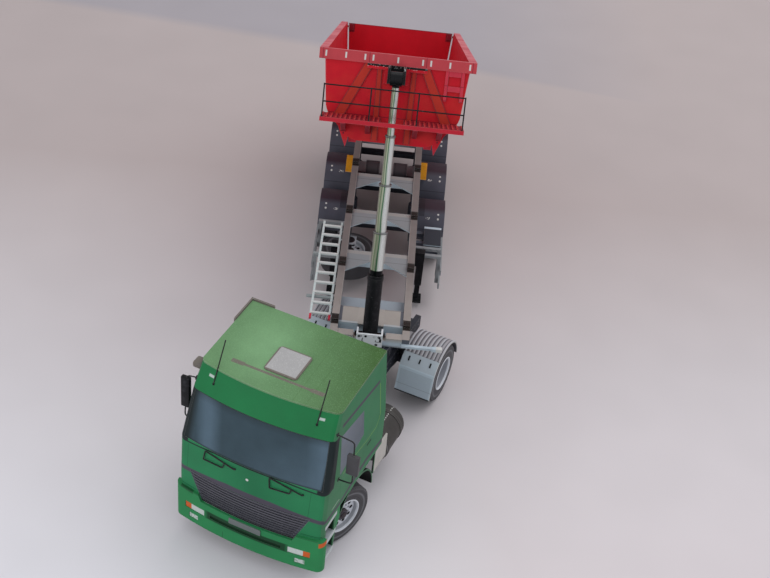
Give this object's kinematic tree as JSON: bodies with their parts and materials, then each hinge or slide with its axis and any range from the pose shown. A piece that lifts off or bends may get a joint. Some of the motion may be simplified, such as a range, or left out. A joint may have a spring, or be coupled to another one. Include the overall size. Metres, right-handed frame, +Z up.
{
  "type": "articulated tipper truck model",
  "caption": "Printed-card model of a tractor unit with a tipping semi-trailer; steered wheels, turning fifth wheel, raised bed on a telescopic cylinder, swinging tailgate.",
  "frame": {"origin": "centre of the object's outline on the floor it stands on", "axes": "+Z up, -Y forwards along the trailer, +X to the vehicle's left"},
  "size_m": [0.1804, 0.5262, 0.233],
  "materials": {
    "tyre_card": "printed dark brown-grey card, matt",
    "green_card": "printed green card, satin",
    "window_card": "printed dark blue-grey card, satin",
    "grille_card": "printed dark grey card",
    "hatch_card": "printed pale grey card",
    "lamp_card": "printed lamp, white and orange",
    "chassis_card": "printed dark blue-grey card",
    "grey_card": "printed light blue-grey card",
    "beige_card": "printed beige-brown card",
    "dark_card": "printed near-black card",
    "fender_card": "printed dark grey card",
    "red_card": "printed red card, satin",
    "white_card": "white card",
    "orange_card": "orange card",
    "black_wire": "blackened wire",
    "ladder_card": "pale grey card",
    "black_tube": "black painted tube",
    "chrome_tube": "polished tube"
  },
  "bodies": {
    "trailer": {"trailer_frame": "beige_card", "neck_plate": "grey_card", "cylinder_cradle": "white_card", "cross_members": "grey_card", "lamp_arms": "grey_card", "landing_legs": "dark_card", "ladder": "ladder_card", "spare_wheel": "tyre_card", "side_guards": "grey_card", "side_box": "grey_card", "fenders": "fender_card", "trailer_axles": "chassis_card", "air_tanks": "dark_card", "wheel_chocks": "orange_card", "rear_bumper": "grey_card"},
    "tractor": {"chassis_frame": "chassis_card", "fifth_wheel": "dark_card", "front_axle": "chassis_card", "rear_axle": "chassis_card", "cab_shell": "green_card", "window_panes": "window_card", "grille": "grille_card", "cab_roof": "green_card", "roof_hatch": "hatch_card", "bumper": "green_card", "head_lamps": "lamp_card", "arch_liners": "chassis_card", "cab_steps": "green_card", "mirrors": "black_wire", "wipers": "black_wire", "aerials": "black_wire", "air_duct": "dark_card", "silencer": "dark_card", "fuel_tank": "grey_card", "mudguards": "grey_card"},
    "knuckle_left": {"knuckle_left": "chassis_card"},
    "knuckle_right": {"knuckle_right": "chassis_card"},
    "bed": {"bed_tub": "red_card", "bed_ribs": "red_card", "walkway": "red_card", "railings": "black_wire", "head_bracket": "dark_card"},
    "tailgate": {"tailgate": "red_card"},
    "cylinder_base": {"cylinder_base": "black_tube"},
    "cylinder_stage_1": {"cylinder_stage_1": "chrome_tube"},
    "cylinder_stage_2": {"cylinder_stage_2": "chrome_tube"},
    "cylinder_stage_3": {"cylinder_stage_3": "chrome_tube"},
    "cylinder_stage_4": {"cylinder_stage_4": "chrome_tube"},
    "wheel_front_left": {"wheel_front_left": "tyre_card"},
    "wheel_front_right": {"wheel_front_right": "tyre_card"},
    "wheel_rear_left": {"wheel_rear_left": "tyre_card"},
    "wheel_rear_right": {"wheel_rear_right": "tyre_card"},
    "wheel_trailer_1_left": {"wheel_trailer_1_left": "tyre_card"},
    "wheel_trailer_1_right": {"wheel_trailer_1_right": "tyre_card"},
    "wheel_trailer_2_left": {"wheel_trailer_2_left": "tyre_card"},
    "wheel_trailer_2_right": {"wheel_trailer_2_right": "tyre_card"},
    "wheel_trailer_3_left": {"wheel_trailer_3_left": "tyre_card"},
    "wheel_trailer_3_right": {"wheel_trailer_3_right": "tyre_card"}
  },
  "joints": [
    {"name": "fifth_wheel_turn", "type": "hinge", "parent": "trailer", "child": "tractor", "pos_m": [0.0263, -0.0862, 0.0476], "axis": [0, 0, 1], "range_deg": [-38.6, 81.4]},
    {"name": "steer_left", "type": "hinge", "parent": "tractor", "child": "knuckle_left", "pos_m": [0.00967, -0.21222, 0.0215], "axis": [0, 0, 1], "range_deg": [-2, 44]},
    {"name": "steer_right", "type": "hinge", "parent": "tractor", "child": "knuckle_right", "pos_m": [-0.04712, -0.18996, 0.0215], "axis": [0, 0, 1], "range_deg": [-2, 44]},
    {"name": "spin_front_left", "type": "hinge", "parent": "knuckle_left", "child": "wheel_front_left", "pos_m": [0.01617, -0.21815, 0.0215], "axis": [0.7385, -0.6743, 0], "continuous": true},
    {"name": "spin_front_right", "type": "hinge", "parent": "knuckle_right", "child": "wheel_front_right", "pos_m": [-0.05362, -0.18403, 0.0215], "axis": [0.7385, -0.6743, 0], "continuous": true},
    {"name": "spin_rear_left", "type": "hinge", "parent": "tractor", "child": "wheel_rear_left", "pos_m": [0.06925, -0.07801, 0.0215], "axis": [0.9311, -0.3649, 0], "continuous": true},
    {"name": "spin_rear_right", "type": "hinge", "parent": "tractor", "child": "wheel_rear_right", "pos_m": [0.00035, -0.05101, 0.0215], "axis": [0.9311, -0.3649, 0], "continuous": true},
    {"name": "spin_trailer_1_left", "type": "hinge", "parent": "trailer", "child": "wheel_trailer_1_left", "pos_m": [0.0673, 0.0843, 0.0215], "axis": [1, 0, 0], "continuous": true},
    {"name": "spin_trailer_1_right", "type": "hinge", "parent": "trailer", "child": "wheel_trailer_1_right", "pos_m": [-0.0147, 0.0843, 0.0215], "axis": [1, 0, 0], "continuous": true},
    {"name": "spin_trailer_2_left", "type": "hinge", "parent": "trailer", "child": "wheel_trailer_2_left", "pos_m": [0.0673, 0.1368, 0.0215], "axis": [1, 0, 0], "continuous": true},
    {"name": "spin_trailer_2_right", "type": "hinge", "parent": "trailer", "child": "wheel_trailer_2_right", "pos_m": [-0.0147, 0.1368, 0.0215], "axis": [1, 0, 0], "continuous": true},
    {"name": "spin_trailer_3_left", "type": "hinge", "parent": "trailer", "child": "wheel_trailer_3_left", "pos_m": [0.0673, 0.1893, 0.0215], "axis": [1, 0, 0], "continuous": true},
    {"name": "spin_trailer_3_right", "type": "hinge", "parent": "trailer", "child": "wheel_trailer_3_right", "pos_m": [-0.0147, 0.1893, 0.0215], "axis": [1, 0, 0], "continuous": true},
    {"name": "bed_tip", "type": "hinge", "parent": "trailer", "child": "bed", "pos_m": [0.0263, 0.2158, 0.054], "axis": [-1, 0, 0], "range_deg": [-25.1, 7.9]},
    {"name": "tailgate_swing", "type": "hinge", "parent": "bed", "child": "tailgate", "pos_m": [0.0263, 0.25979, 0.10076], "axis": [1, 0, 0], "range_deg": [0, 60]},
    {"name": "cylinder_tilt", "type": "hinge", "parent": "trailer", "child": "cylinder_base", "pos_m": [0.0263, -0.0872, 0.0555], "axis": [-1, 0, 0], "range_deg": [-12.6, 4.1]},
    {"name": "stage_1_slide", "type": "slide", "parent": "cylinder_base", "child": "cylinder_stage_1", "axis": [0, 0.3046, 0.9525], "range_m": [-0.0321, 0.0102]},
    {"name": "stage_2_slide", "type": "slide", "parent": "cylinder_stage_1", "child": "cylinder_stage_2", "axis": [0, 0.3046, 0.9525], "range_m": [-0.0321, 0.0102]},
    {"name": "stage_3_slide", "type": "slide", "parent": "cylinder_stage_2", "child": "cylinder_stage_3", "axis": [0, 0.3046, 0.9525], "range_m": [-0.0321, 0.0102]},
    {"name": "stage_4_slide", "type": "slide", "parent": "cylinder_stage_3", "child": "cylinder_stage_4", "axis": [0, 0.3046, 0.9525], "range_m": [-0.0321, 0.0102]}
  ],
  "couplings": [
    {"joint": "steer_right", "follows": "steer_left", "ratio": 1},
    {"joint": "cylinder_tilt", "follows": "bed_tip", "ratio": 0.495},
    {"joint": "stage_1_slide", "follows": "bed_tip", "m_per_rad": 0.073052},
    {"joint": "stage_2_slide", "follows": "bed_tip", "m_per_rad": 0.073052},
    {"joint": "stage_3_slide", "follows": "bed_tip", "m_per_rad": 0.073052},
    {"joint": "stage_4_slide", "follows": "bed_tip", "m_per_rad": 0.073052}
  ]
}
